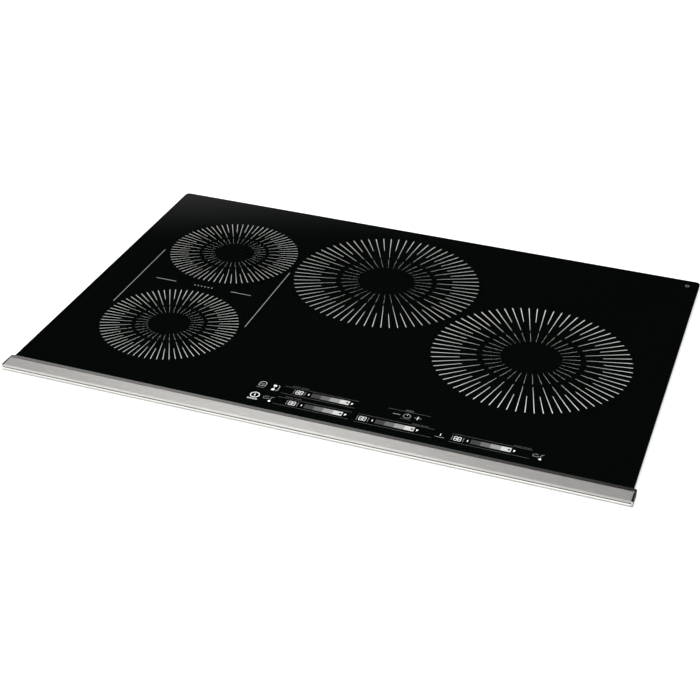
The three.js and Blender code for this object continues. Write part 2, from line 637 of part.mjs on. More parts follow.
function touchControl() {
  const [x0, x1] = [CONTROL_X - CONTROL_WIDTH / 2, CONTROL_X + CONTROL_WIDTH / 2];
  const [y0, y1] = [CONTROL_Y - CONTROL_DEPTH / 2, CONTROL_Y + CONTROL_DEPTH / 2];
  const out = CARRIER_WALL + GAP;
  const carrier = roundedSlab(x0 - out, x1 + out, y0 - out, y1 + out, CARRIER_BOTTOM, CONTROL_TOP, out);
  const pocket = box(x0 - GAP, x1 + GAP, y0 - GAP, y1 + GAP, CARRIER_TOP, CONTROL_TOP + PAST);
  add("ui_bracket", shaped([carrier], [pocket]), BLACK_PLASTIC);
  add("ui_board", box(x0, x1, y0, y1, CONTROL_TOP - BOARD_THICKNESS, CONTROL_TOP), BOARD_GREEN);
}

function mainsConnection() {
  const floor = SHEET + GAP;
  const rear = INNER_REAR - TERMINAL_BACK;
  const blockTop = floor + TERMINAL_HEIGHT;
  const block = box(GLAND_X - TERMINAL_WIDTH / 2, GLAND_X + TERMINAL_WIDTH / 2, rear - TERMINAL_LENGTH, rear,
    floor, blockTop);
  const pitch = TERMINAL_WIDTH / TERMINAL_POLES;
  const wells = Array.from({ length: TERMINAL_POLES }, (_, i) => {
    const x = GLAND_X + (i - (TERMINAL_POLES - 1) / 2) * pitch;
    return rod(x, rear - TERMINAL_LENGTH / 2, TERMINAL_WELL, (floor + blockTop) / 2, blockTop + PAST, 12);
  });
  add("terminal_block", shaped([block], wells), BLACK_PLASTIC);

  const along = (y0, y1, radius, sides) => rodAlongY(GLAND_X, y0, y1, GLAND_HEIGHT, radius, sides);
  const seat = BOX_REAR + GAP;
  const barrel = along(INNER_REAR - GLAND_FLANGE, BOX_REAR + GLAND_REACH, GLAND_RADIUS, 24);
  const flange = along(seat, seat + GLAND_FLANGE, GLAND_RADIUS + GLAND_RIM, 6);
  const bore = along(INNER_REAR - 2 * GLAND_FLANGE, REAR, GLAND_BORE, 24);
  add("supply_gland", shaped([barrel, flange], [bore]), BLACK_PLASTIC);

  const cover = box(COVER_X - COVER_WIDTH / 2, COVER_X + COVER_WIDTH / 2, seat, seat + SHEET,
    COVER_CENTRE - COVER_HEIGHT / 2, COVER_CENTRE + COVER_HEIGHT / 2);
  add("terminal_cover", cover, STEEL);
}

// ---- Fans ----
function fan({ name, x, y }) {
  const place = new THREE.Group();
  place.position.set(x, y, SHEET + GAP);
  model.add(place);
  const half = FAN_SIZE / 2;
  const spokeHeight = FAN_WALL;
  const frame = roundedSlab(-half, half, -half, half, 0, FAN_DEPTH, 2 * FAN_WALL);
  const duct = rod(0, 0, FAN_BORE, -PAST, FAN_DEPTH + PAST, 40);
  const seat = rod(0, 0, FAN_HUB, 0, spokeHeight);
  const spokes = [0, 1, 2, 3].map((i) => {
    const spoke = box(FAN_HUB - PAST, FAN_BORE + PAST, -FAN_WALL / 2, FAN_WALL / 2, 0, spokeHeight);
    return spoke.rotateZ((i + 0.5) * (Math.PI / 2));
  });
  const housing = shaped([geometryOf(solid(frame).subtract(solid(duct))), seat, ...spokes]);
  add("fan_housing_" + name, housing, BLACK_PLASTIC, place);

  const hubTop = FAN_DEPTH - FAN_CLEARANCE;
  const hub = rod(0, 0, FAN_HUB, spokeHeight + 2 * GAP, hubTop, 28);
  const middle = (spokeHeight + hubTop) / 2;
  const chord = (hubTop - spokeHeight - 2 * FAN_CLEARANCE) / Math.cos((BLADE_PITCH * Math.PI) / 180);
  const tip = solid(rod(0, 0, FAN_BORE - FAN_CLEARANCE, spokeHeight + FAN_CLEARANCE / 2, hubTop, 40));
  const blades = Array.from({ length: FAN_BLADES }, (_, i) => {
    const blade = new THREE.BoxGeometry(FAN_SIZE / 2 - FAN_HUB + 2 * PAST, BLADE_THICKNESS, chord);
    blade.rotateX((BLADE_PITCH * Math.PI) / 180).translate((FAN_SIZE / 2 + FAN_HUB) / 2 - PAST, 0, middle);
    return solid(blade.rotateZ((i * 2 * Math.PI) / FAN_BLADES)).intersect(tip);
  });
  const rotor = blades.reduce((whole, blade) => whole.add(blade), solid(hub));
  add("fan_impeller_" + name, geometryOf(rotor), BLACK_PLASTIC, place);
}

// ---- Hold-down clamps ----
function clamp({ name, side }) {
  const place = new THREE.Group();
  place.position.set(side * BOX_HALF, 0, 0);
  place.rotation.z = side < 0 ? Math.PI : 0;
  model.add(place);
  const screwX = CLAMP_REACH - CLAMP_SCREW_IN;
  const armTop = CLAMP_HEIGHT + CLAMP_SHEET;
  const half = CLAMP_WIDTH / 2;
  const arm = box(GAP, CLAMP_REACH, -half, half, CLAMP_HEIGHT, armTop);
  const leg = box(GAP, GAP + CLAMP_SHEET, -half, half, CLAMP_HEIGHT - CLAMP_LEG, armTop);
  const thread = rod(screwX, 0, CLAMP_SCREW_RADIUS + GAP, CLAMP_HEIGHT - PAST, armTop + PAST, 20);
  const fixings = bracketScrewPlaces
    .filter((spot) => spot.side === side)
    .map(({ y, z }) => rodAlongX(-PAST, CLAMP_SHEET + GAP + PAST, y, z, SCREW_RADIUS + GAP, 12));
  add("hold_down_bracket_" + name, shaped([arm, leg], [thread, ...fixings]), ZINC, place);

  // Backed off all the way: the head meets the arm after the full travel.
  const headTop = CLAMP_HEIGHT - GAP - CLAMP_TRAVEL;
  const footBottom = armTop + 2 * GAP;
  const head = rod(screwX, 0, CLAMP_HEAD_RADIUS, headTop - CLAMP_HEAD, headTop, 6);
  const shaft = rod(screwX, 0, CLAMP_SCREW_RADIUS, headTop - PAST, footBottom - GAP, 20);
  const pin = rod(screwX, 0, CLAMP_PIN_RADIUS, footBottom - PAST, footBottom + CLAMP_PIN, 16);
  const foot = rod(screwX, 0, CLAMP_FOOT_RADIUS, footBottom, footBottom + CLAMP_FOOT_THICKNESS, 28);
  const socket = rod(screwX, 0, CLAMP_PIN_RADIUS + GAP, footBottom - PAST, footBottom + CLAMP_PIN + GAP, 16);
  add("clamp_screw_" + name, shaped([head, shaft, pin]), ZINC, place);
  add("clamp_foot_" + name, shaped([foot], [socket]), BLACK_PLASTIC, place);
}

glassTop();
frontTrim();
sealGasket();
glassFrame();
burnerBox();
boxScrewPlaces.forEach((place) => screw("box_screw_" + place.name, place, BOX_HALF));
const bracketFace = BOX_HALF + GAP + CLAMP_SHEET;
bracketScrewPlaces.forEach((place) => screw("bracket_screw_" + place.name, place, bracketFace));
ZONES.forEach(coilStack);
trays.forEach(coilTray);
boards.forEach(powerStage);
mainsFilter();
touchControl();
mainsConnection();
fanPlaces.forEach(fan);
SIDES.forEach(clamp);

export default model;
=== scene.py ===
import math

import bmesh
import bpy
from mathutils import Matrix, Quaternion, Vector


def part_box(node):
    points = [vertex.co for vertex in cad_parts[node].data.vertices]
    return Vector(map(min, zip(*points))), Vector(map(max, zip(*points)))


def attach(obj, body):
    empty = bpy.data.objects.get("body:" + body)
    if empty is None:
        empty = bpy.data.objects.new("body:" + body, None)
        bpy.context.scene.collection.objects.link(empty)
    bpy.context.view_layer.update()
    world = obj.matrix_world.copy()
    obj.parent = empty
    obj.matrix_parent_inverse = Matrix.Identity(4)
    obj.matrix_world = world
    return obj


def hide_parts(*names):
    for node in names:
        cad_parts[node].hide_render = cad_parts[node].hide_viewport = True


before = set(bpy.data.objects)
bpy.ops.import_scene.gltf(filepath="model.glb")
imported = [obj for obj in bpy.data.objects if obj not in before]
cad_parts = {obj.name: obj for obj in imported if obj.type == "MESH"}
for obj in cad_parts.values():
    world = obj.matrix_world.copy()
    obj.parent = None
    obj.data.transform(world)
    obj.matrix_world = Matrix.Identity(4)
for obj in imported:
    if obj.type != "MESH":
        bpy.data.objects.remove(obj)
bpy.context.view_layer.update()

MM = 0.001
scene = bpy.context.scene

# ---- Places read from the frame ----
glass_low, glass_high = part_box("glass_top")
trim_low, trim_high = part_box("front_trim")
box_low, box_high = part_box("burner_box")
GLASS_TOP = glass_high.z
TRIM_REAR = trim_high.y
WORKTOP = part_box("seal_gasket")[0].z
BODY = "cooktop"

# ---- Camera ----
AZIMUTH = math.radians(18.756)
ELEVATION = math.radians(31.177)
ROLL = math.radians(1.384)
DISTANCE = 1.9003
LENS = 77.135
SHIFT = (-0.0006, 0.00077)
AIM = Vector((-2.0 * MM, trim_low.y + 190.2 * MM, GLASS_TOP))


def make_camera():
    data = bpy.data.cameras.new("camera")
    data.lens = LENS
    data.sensor_width = 36
    data.shift_x, data.shift_y = SHIFT
    camera = bpy.data.objects.new("camera", data)
    scene.collection.objects.link(camera)
    back = Vector((
        math.sin(AZIMUTH) * math.cos(ELEVATION),
        -math.cos(AZIMUTH) * math.cos(ELEVATION),
        math.sin(ELEVATION),
    ))
    camera.location = AIM + back * DISTANCE
    camera.rotation_mode = "QUATERNION"
    camera.rotation_quaternion = (-back).to_track_quat("-Z", "Y") @ Quaternion((0, 0, 1), ROLL)
    scene.camera = camera


make_camera()


# ---- Shader helpers ----
def hex_colour(text):
    """An sRGB hex colour as the linear values that shaders take."""
    parts = [int(text[i : i + 2], 16) / 255 for i in (1, 3, 5)]
    linear = [p / 12.92 if p <= 0.04045 else ((p + 0.055) / 1.055) ** 2.4 for p in parts]
    return (*linear, 1.0)


def node(tree, kind, inputs=None, **settings):
    """Adds one node with its own settings. Each input is a value, or the output of another node."""
    made = tree.nodes.new("ShaderNode" + kind)
    for key, value in settings.items():
        setattr(made, key, value)
    for socket, value in (inputs or {}).items():
        if isinstance(value, bpy.types.NodeSocket):
            tree.links.new(value, made.inputs[socket])
        else:
            made.inputs[socket].default_value = value
    return made


def material(name, colour, **surface):
    """A material with a Principled surface of one sRGB colour and the sockets given."""
    made = bpy.data.materials.new(name)
    made.use_nodes = True
    shader = made.node_tree.nodes["Principled BSDF"]
    shader.inputs["Base Color"].default_value = hex_colour(colour)
    for socket, value in surface.items():
        shader.inputs[socket.replace("_", " ").title().replace("Ior", "IOR")].default_value = value
    return made, made.node_tree, shader


def grain_scale(x_mm, y_mm, z_mm):
    """The mapping scale that makes one unit of a pattern the given size along each axis."""
    return (1 / (x_mm * MM), 1 / (y_mm * MM), 1 / (z_mm * MM))


# ---- Materials ----
def glass_ceramic():
    """Rolled and polished black glass ceramic: a near-black body under a clear, almost perfect mirror,
    with the faint cloudy sheen of wiping, in patches of about 60 mm."""
    made, tree, shader = material("black_glass_ceramic", "#030504", roughness=0.04, ior=1.52)
    place = node(tree, "TexCoord").outputs["Object"]
    patches = node(tree, "Mapping", {"Vector": place, "Scale": grain_scale(60, 60, 60)})
    cloud = node(tree, "TexNoise", {"Vector": patches.outputs["Vector"], "Scale": 1.0, "Detail": 4.0})
    sheen = node(tree, "MapRange", {"Value": cloud.outputs["Fac"], "To Min": 0.025, "To Max": 0.06})
    tree.links.new(sheen.outputs["Result"], shader.inputs["Roughness"])
    return made


DOT_EDGE = 0.9  # the thin edges of the printed dots, against their middles


def ceramic_enamel(name, colour):
    """Screen-printed ceramic enamel, fired on: a matt pale grey with the speckle of its 0.5 mm dots."""
    made, tree, shader = material(name, colour, roughness=0.5, ior=1.5)
    edge = "#" + "".join(f"{int(int(colour[i : i + 2], 16) * DOT_EDGE):02x}" for i in (1, 3, 5))
    place = node(tree, "TexCoord").outputs["Object"]
    screen = node(tree, "Mapping", {"Vector": place, "Scale": grain_scale(0.5, 0.5, 0.5)})
    dots = node(tree, "TexNoise", {"Vector": screen.outputs["Vector"], "Scale": 1.0, "Detail": 2.0})
    tones = {"Factor": dots.outputs["Fac"], 6: hex_colour(edge), 7: hex_colour(colour)}
    speckle = node(tree, "Mix", tones, data_type="RGBA")
    matt = node(tree, "MapRange", {"Value": dots.outputs["Fac"], "To Min": 0.42, "To Max": 0.58})
    tree.links.new(speckle.outputs[2], shader.inputs["Base Color"])
    tree.links.new(matt.outputs["Result"], shader.inputs["Roughness"])
    return made


def brushed_stainless():
    """Stainless strip, belt-brushed along its length: long fine scratches that smear the light across
    them. Real scratches are 0.05 mm apart; these are drawn 0.5 mm wide so that they show."""
    made, tree, shader = material(
        "brushed_stainless", "#c9c7c4", metallic=1.0, roughness=0.5, anisotropic=0.9
    )
    shader.inputs["Anisotropic Rotation"].default_value = 0.25
    place = node(tree, "TexCoord").outputs["Object"]
    scratches = node(tree, "Mapping", {"Vector": place, "Scale": grain_scale(45, 0.5, 0.5)})
    patches = node(tree, "Mapping", {"Vector": place, "Scale": grain_scale(14, 5, 5)})
    grain = node(tree, "TexNoise", {"Vector": scratches.outputs["Vector"], "Scale": 1.0, "Detail": 6.0})
    mottle = node(tree, "TexNoise", {"Vector": patches.outputs["Vector"], "Scale": 1.0, "Detail": 3.0})
    tones = {"Factor": mottle.outputs["Fac"], 6: hex_colour("#c0bebb"), 7: hex_colour("#d6d4d1")}
    tone = node(tree, "Mix", tones, data_type="RGBA")
    satin = node(tree, "MapRange", {"Value": grain.outputs["Fac"], "To Min": 0.42, "To Max": 0.58})
    bump = node(tree, "Bump", {"Height": grain.outputs["Fac"], "Strength": 0.2, "Distance": 0.03 * MM})
    along = node(tree, "Tangent", direction_type="UV_MAP", uv_map="length")
    tree.links.new(tone.outputs[2], shader.inputs["Base Color"])
    tree.links.new(satin.outputs["Result"], shader.inputs["Roughness"])
    tree.links.new(bump.outputs["Normal"], shader.inputs["Normal"])
    tree.links.new(along.outputs["Tangent"], shader.inputs["Tangent"])
    return made


def polished_stainless():
    """Polished stainless bezel: a soft mirror with faint drawing lines along it, 1.5 mm apart."""
    made, tree, shader = material("polished_stainless", "#dbdad8", metallic=1.0, roughness=0.14)
    place = node(tree, "TexCoord").outputs["Object"]
    drawn = node(tree, "Mapping", {"Vector": place, "Scale": grain_scale(80, 1.5, 1.5)})
    lines = node(tree, "TexNoise", {"Vector": drawn.outputs["Vector"], "Scale": 1.0, "Detail": 3.0})
    gloss = node(tree, "MapRange", {"Value": lines.outputs["Fac"], "To Min": 0.1, "To Max": 0.18})
    tree.links.new(gloss.outputs["Result"], shader.inputs["Roughness"])
    return made


def hidden_finish(name, colour, other, grain_mm, rough, **surface):
    """A finish of the pieces under the glass: colour and roughness wander between two values over
    grain_mm, which is given along X, Y and Z."""
    made, tree, shader = material(name, colour, roughness=rough[0], **surface)
    place = node(tree, "TexCoord").outputs["Object"]
    grains = node(tree, "Mapping", {"Vector": place, "Scale": grain_scale(*grain_mm)})
    noise = node(tree, "TexNoise", {"Vector": grains.outputs["Vector"], "Scale": 1.0, "Detail": 4.0})
    tones = {"Factor": noise.outputs["Fac"], 6: hex_colour(colour), 7: hex_colour(other)}
    tone = node(tree, "Mix", tones, data_type="RGBA")
    wear = node(tree, "MapRange", {"Value": noise.outputs["Fac"], "To Min": rough[0], "To Max": rough[1]})
    tree.links.new(tone.outputs[2], shader.inputs["Base Color"])
    tree.links.new(wear.outputs["Result"], shader.inputs["Roughness"])
    return made


GLASS = glass_ceramic()
BRUSHED = brushed_stainless()
POLISHED = polished_stainless()
# One enamel, printed denser or thinner: the thinner the print, the more black glass shows through it.
PRINT = {
    "rays": ceramic_enamel("enamel_rays", "#d6d7d4"),
    "bright": ceramic_enamel("enamel_bright", "#eeefec"),
    "pale": ceramic_enamel("enamel_pale", "#b4b5b2"),
    "middle": ceramic_enamel("enamel_middle", "#858684"),
    "dim": ceramic_enamel("enamel_dim", "#5a5b5a"),
    "faint": ceramic_enamel("enamel_faint", "#333433"),
    "black": ceramic_enamel("enamel_black", "#0a0b0a"),
}


# ---- Mesh helpers ----
def mesh_object(name, bm, shade, body=BODY, smooth=False):
    bmesh.ops.recalc_face_normals(bm, faces=bm.faces)
    data = bpy.data.meshes.new(name)
    bm.to_mesh(data)
    bm.free()
    data.materials.append(shade)
    for polygon in data.polygons:
        polygon.use_smooth = smooth
    made = bpy.data.objects.new(name, data)
    scene.collection.objects.link(made)
    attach(made, body)
    return made


def prism(bm, points, z0, z1):
    """A closed upright prism over a polygon of (x, y) points."""
    low = [bm.verts.new((x, y, z0)) for x, y in points]
    high = [bm.verts.new((x, y, z1)) for x, y in points]
    bm.faces.new(low[::-1])
    bm.faces.new(high)
    for i in range(len(points)):
        j = (i + 1) % len(points)
        bm.faces.new((low[i], low[j], high[j], high[i]))


# ---- Printed marks: thin closed flakes of enamel on the glass ----
PRINT_LOW = GLASS_TOP + 0.01 * MM
PRINT_HIGH = GLASS_TOP + 0.04 * MM


class Print:
    """Marks of one shade. Sizes are in mm; across runs along X from the middle of the glass, and deep
    is the distance behind the trim."""

    def __init__(self, name, shade, origin=(0.0, TRIM_REAR)):
        self.name = name
        self.shade = shade
        self.origin = origin
        self.low, self.high = PRINT_LOW, PRINT_HIGH
        self.bm = bmesh.new()

    def flake(self, points):
        ox, oy = self.origin
        prism(self.bm, [(ox + x * MM, oy + y * MM) for x, y in points], self.low, self.high)

    def bar(self, x0, x1, y0, y1):
        self.flake([(x0, y0), (x1, y0), (x1, y1), (x0, y1)])

    def disc(self, x, y, radius, sides=20):
        turn = 2 * math.pi / sides
        self.flake([(x + radius * math.cos(i * turn), y + radius * math.sin(i * turn)) for i in range(sides)])

    def line(self, points, width):
        """A stroke of even width through points, one flake for each stretch."""
        for (xa, ya), (xb, yb) in zip(points, points[1:]):
            length = math.hypot(xb - xa, yb - ya)
            nx, ny = -(yb - ya) / length * width / 2, (xb - xa) / length * width / 2
            self.flake([(xa - nx, ya - ny), (xb - nx, yb - ny), (xb + nx, yb + ny), (xa + nx, ya + ny)])

    def arc(self, x, y, radius, width, start=0.0, end=360.0, steps=32):
        """Part of a ring, angles in degrees from +X."""
        angles = [math.radians(start + (end - start) * i / steps) for i in range(steps + 1)]
        outer, inner = radius + width / 2, radius - width / 2
        for a, b in zip(angles, angles[1:]):
            self.flake([
                (x + inner * math.cos(a), y + inner * math.sin(a)),
                (x + outer * math.cos(a), y + outer * math.sin(a)),
                (x + outer * math.cos(b), y + outer * math.sin(b)),
                (x + inner * math.cos(b), y + inner * math.sin(b)),
            ])

    def done(self):
        return mesh_object(self.name, self.bm, PRINT[self.shade])


RAYS = 72
INNER_RING = (0.31, 0.49)
LONG_RAY = (0.548, 1.0)
SHORT_RAY = (0.715, 1.0)
COIL_INSET = 9 * MM


def zone_print(name, ray_degrees):
    """Rays like a clock face: long and short in turn, and an inner ring of the long ones' feet. A ray
    takes up ray_degrees at the rim, and narrows towards the middle with the square of the radius."""
    low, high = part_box("mica_disc_" + name)
    centre = (low + high) / 2
    radius = ((high.x - low.x) / 2 + COIL_INSET) / MM
    marks = Print("print_zone_" + name, "rays", (centre.x, centre.y))

    def ray(angle, span):
        shares = (span[0], (span[0] + span[1]) / 2, span[1])
        sides = []
        for side in (-1, 1):
            half = side * math.radians(ray_degrees) / 2
            turned = [(share * radius, angle + half * share) for share in shares[::-side]]
            sides += [(r * math.cos(a), r * math.sin(a)) for r, a in turned]
        marks.flake(sides)

    for i in range(RAYS):
        angle = i * 2 * math.pi / RAYS
        if i % 2:
            ray(angle, LONG_RAY)
            ray(angle, INNER_RING)
        else:
            ray(angle, SHORT_RAY)
    marks.done()


zone_print("left_rear", 0.35)
zone_print("left_front", 0.41)
zone_print("centre_rear", 0.31)
zone_print("right_front", 0.40)


def bridge_print():
    """The frame that shows that the two left zones work as one: two side lines, two dashes, six dots."""
    rear, front = (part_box("mica_disc_left_" + end) for end in ("rear", "front"))
    x = (rear[0].x + rear[1].x) / 2
    y = (rear[0].y + front[1].y) / 2
    marks = Print("print_bridge", "pale", (x, y))
    for side in (-1, 1):
        marks.bar(side * 94.7 - 0.25, side * 94.7 + 0.25, -79.5, 79.5)
        inner, outer = sorted((side * 40.7, side * 69.8))
        marks.bar(inner, outer, -0.3, 0.3)
    for i in range(6):
        marks.disc((i - 2.5) * 5.0, 0, 0.8, 12)
    marks.done()


bridge_print()

bright = Print("print_controls_bright", "bright")
pale = Print("print_controls_pale", "pale")
middle = Print("print_controls_middle", "middle")
dim = Print("print_controls_dim", "dim")
faint = Print("print_controls_faint", "faint")
STEPS = (faint, dim, middle, pale)
HAIRLINE = 0.36
LETTERS = (1.5, 1.0, 1.3, 0.9)  # lengths of the dashes that stand in for small words


def word(marks, x0, x1, deep, height=1.9):
    """A row of small dashes, read from a distance as a word."""
    x, i = x0, 0
    while x + LETTERS[i % 4] <= x1:
        marks.bar(x, x + LETTERS[i % 4], deep - height / 2, deep + height / 2)
        x += LETTERS[i % 4] + 0.45
        i += 1


def two_words(marks, x0, x1, deep):
    gap = 1.2
    middle_x = (x0 + x1) / 2
    word(marks, x0, middle_x - gap / 2, deep)
    word(marks, middle_x + gap / 2, x1, deep)


def digit(marks, x, deep, width=3.5, height=7.6):
    """A seven-segment display figure with every segment showing."""
    stroke = 0.7
    for row in (-1, 0, 1):
        level = deep + row * height / 2
        marks.bar(x - width / 2, x + width / 2, level - stroke / 2, level + stroke / 2)
    for side in (-1, 1):
        for row in (-1, 1):
            edge, level = x + side * width / 2, deep + row * height / 4
            reach = height / 4 - stroke
            marks.bar(edge - stroke / 2, edge + stroke / 2, level - reach, level + reach)


def slider(x, rear, front, label, inset=0.0):
    """One zone's control: two frame lines, its name, a display between two bars, a tick and a strip in
    four steps that brighten to the right, with a stop dot in the last one and a pennant after it."""
    deep = (rear + front) / 2
    length = 94.7
    for line in (rear, front):
        dim.bar(x, x + length, line - HAIRLINE / 2, line + HAIRLINE / 2)
    two_words(faint, x + label[0], x + label[1], rear + label[2])
    x += inset
    for bar in (1.4, 15.1):
        middle.bar(x + bar - 0.25, x + bar + 0.25, deep - 4.6, deep + 4.6)
    for place in (5.8, 10.4):
        digit(bright, x + place, deep)
    bright.bar(x + 19.7, x + 20.7, deep - 1.8, deep + 1.8)
    edges = (23.9, 35.6, 47.3, 59.9, 72.1)
    for step, x0, x1 in zip(STEPS, edges, edges[1:]):
        step.bar(x + x0, x + x1 - 0.15, deep - 4.3, deep + 4.3)
    stops.disc(x + 69.4, deep, 1.6, 12)
    bright.flake([(x + 74.8, deep - 2.8), (x + 77.2, deep + 1.2), (x + 74.6, deep + 1.6)])


def padlock(x, deep):
    pale.arc(x, deep + 2.0, 4.2, 0.8, 0, 180, 12)
    pale.line([
        (x - 4.2, deep + 2.0), (x - 4.2, deep - 3.4), (x + 4.2, deep - 3.4), (x + 4.2, deep + 2.0),
    ], 0.6)
    middle.arc(x, deep + 1.2, 1.5, 0.5, 0, 180, 8)
    middle.bar(x - 2.0, x + 2.0, deep - 0.4, deep + 0.6)
    word(dim, x - 5.2, x + 5.2, deep - 7.0, 1.5)


def power_mark(x, deep):
    bright.arc(x, deep, 5.4, 1.0)
    bright.bar(x - 0.5, x + 0.5, deep - 2.6, deep + 2.6)
    word(pale, x - 6.5, x + 6.5, deep - 8.7, 2.8)


def bridge_mark(x, deep):
    for level in (4.3, -4.5):
        bright.bar(x - 4.2, x - 0.4, deep + level - 1.7, deep + level + 1.7)
    pale.bar(x - 2.8, x - 1.8, deep - 2.5, deep + 2.3)
    pale.line([
        (x + 1.4, deep + 5.8), (x + 3.6, deep + 4.4), (x + 3.6, deep - 4.6), (x + 1.4, deep - 6.0),
    ], 0.6)


def probe_mark(x, deep):
    """A pan with steam over it and a thermometer beside it."""
    middle.line([
        (x - 6.4, deep + 3.0), (x - 5.4, deep - 1.2), (x + 0.4, deep - 1.2), (x + 1.0, deep + 1.0),
    ], 0.6)
    for off in (-4.4, -2.5, -0.6):
        middle.line([(x + off - 0.4, deep + 2.4), (x + off + 0.4, deep + 4.8)], 0.5)
    middle.line([(x + 3.4, deep - 3.6), (x + 3.4, deep + 3.4), (x + 6.6, deep + 4.4)], 0.7)
    bright.disc(x + 3.4, deep - 5.0, 1.6, 14)


def timer(x, deep):
    dim.bar(x - 26.0, x + 27.0, deep + 8.9 - HAIRLINE / 2, deep + 8.9 + HAIRLINE / 2)
    word(dim, x - 4.9, x + 5.4, deep + 11.7)
    middle.bar(x - 17.5, x - 8.5, deep - 0.5, deep + 0.5)
    middle.bar(x + 9.1, x + 17.6, deep - 0.4, deep + 0.4)
    bright.bar(x + 12.9, x + 13.8, deep - 3.4, deep + 3.4)
    middle.arc(x, deep, 4.3, 0.8, 110, 430, 24)
    pale.bar(x - 0.4, x + 0.4, deep + 1.0, deep + 5.4)
    word(faint, x - 6.5, x + 6.5, deep - 6.8, 1.6)


def keep_warm_mark(x, deep):
    bright.bar(x - 0.4, x + 0.4, deep + 3.0, deep + 7.6)
    middle.bar(x - 5.6, x + 5.6, deep - 0.4, deep + 0.4)


stops = Print("print_controls_stops", "black")
stops.low, stops.high = PRINT_HIGH, PRINT_HIGH + 0.01 * MM
slider(-47.8, 56.4, 40.7, (9.1, 30.1, 3.3), 13.2)
slider(-47.8, 31.6, 15.9, (9.1, 30.1, 3.2), 13.2)
slider(54.7, 31.9, 14.9, (66.1, 86.3, 2.4))
slider(171.2, 31.9, 14.9, (72.8, 93.6, 2.4))
padlock(-75.1, 50.6)
power_mark(-75.1, 25.6)
bridge_mark(-57.0, 48.7)
probe_mark(-57.4, 23.6)
probe_mark(274.8, 22.6)
timer(110.4, 47.3)
keep_warm_mark(158.6, 19.3)
for layer in (bright, pale, middle, dim, faint, stops):
    layer.done()

lamp = Print("print_indicator", "middle", (0.0, glass_high.y))
lamp.arc(373.0, -16.5, 2.5, 0.7, steps=20)
lamp.done()


# ---- Glass plate and brushed strip, with the edges that the grinder and the roller leave ----
def loft(bm, rings):
    """A closed skin over rings of equal length, lowest first, with a face over each end."""
    rows = [[bm.verts.new(point) for point in ring] for ring in rings]
    bm.faces.new(rows[0][::-1])
    bm.faces.new(rows[-1])
    for low, high in zip(rows, rows[1:]):
        for i in range(len(low)):
            j = (i + 1) % len(low)
            bm.faces.new((low[i], low[j], high[j], high[i]))


def rounded_rectangle(x0, x1, y0, y1, radius, z, steps=8):
    points = []
    corners = ((x1 - radius, y0 + radius, -90), (x1 - radius, y1 - radius, 0),
               (x0 + radius, y1 - radius, 90), (x0 + radius, y0 + radius, 180))
    for cx, cy, start in corners:
        for i in range(steps + 1):
            a = math.radians(start + 90 * i / steps)
            points.append((cx + radius * math.cos(a), cy + radius * math.sin(a), z))
    return points


GLASS_CORNER = 6 * MM
TOP_ARRIS = 0.6 * MM  # ground rounding of the upper edge
LOW_ARRIS = 0.5 * MM
ARRIS_STEPS = 5


def glass_plate():
    """The glass with its ground edges, and a narrow flat band inside them that keeps the top flat."""
    rings = []

    def ring(inset, z):
        rings.append(rounded_rectangle(glass_low.x + inset, glass_high.x - inset, glass_low.y + inset,
                                       glass_high.y - inset, GLASS_CORNER - inset, z))

    ring(2 * LOW_ARRIS, glass_low.z)
    for i in range(ARRIS_STEPS + 1):
        a = math.radians(90 * i / ARRIS_STEPS)
        ring(LOW_ARRIS * (1 - math.sin(a)), glass_low.z + LOW_ARRIS * (1 - math.cos(a)))
    for i in range(ARRIS_STEPS + 1):
        a = math.radians(90 * i / ARRIS_STEPS)
        ring(TOP_ARRIS * (1 - math.cos(a)), glass_high.z - TOP_ARRIS * (1 - math.sin(a)))
    ring(2 * TOP_ARRIS, glass_high.z)
    bm = bmesh.new()
    loft(bm, rings)
    made = mesh_object("glass_plate", bm, GLASS, smooth=True)
    made.data.set_sharp_from_angle(angle=math.radians(40))
    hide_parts("glass_top")


END_TAPER = 0.004  # how far the sheared ends draw in, as a share
END_DROP = 0.08 * MM


def brushed_strip():
    """The trim's brushed strip: flat, rolled over at the front, with its sheared ends eased."""
    low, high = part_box("trim_plate")
    sheet, roll = 0.8 * MM, 2.2 * MM
    ease = 0.2 * MM
    outside = [(high.y, high.z - ease), (high.y - ease, high.z)]
    inside = []
    for i in range(13):
        a = math.radians(90 + 90 * i / 12)
        outside.append((low.y + roll + roll * math.cos(a), high.z - roll + roll * math.sin(a)))
        bore = roll - sheet
        inside.append((low.y + roll + bore * math.cos(a), high.z - roll + bore * math.sin(a)))
    outside.append((low.y, low.z + ease))
    outside.append((low.y + ease, low.z))
    inside.append((low.y + sheet, low.z))
    profile = outside + inside[::-1] + [(high.y, high.z - sheet)]
    centre_y = sum(y for y, _ in profile) / len(profile)
    bm = bmesh.new()
    shrunk = [
        (y + (centre_y - y) * END_TAPER, z - (END_DROP if z > high.z - ease else 0)) for y, z in profile
    ]
    rings = [[(low.x, y, z) for y, z in shrunk], [(low.x + ease, y, z) for y, z in profile],
             [(high.x - ease, y, z) for y, z in profile], [(high.x, y, z) for y, z in shrunk]]
    loft(bm, rings)
    uv = bm.loops.layers.uv.new("length")
    for face in bm.faces:
        for loop in face.loops:
            loop[uv].uv = (loop.vert.co.x, loop.vert.co.y - loop.vert.co.z)
    made = mesh_object("brushed_strip", bm, BRUSHED, smooth=True)
    made.data.set_sharp_from_angle(angle=math.radians(35))
    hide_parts("trim_plate")


glass_plate()
brushed_strip()


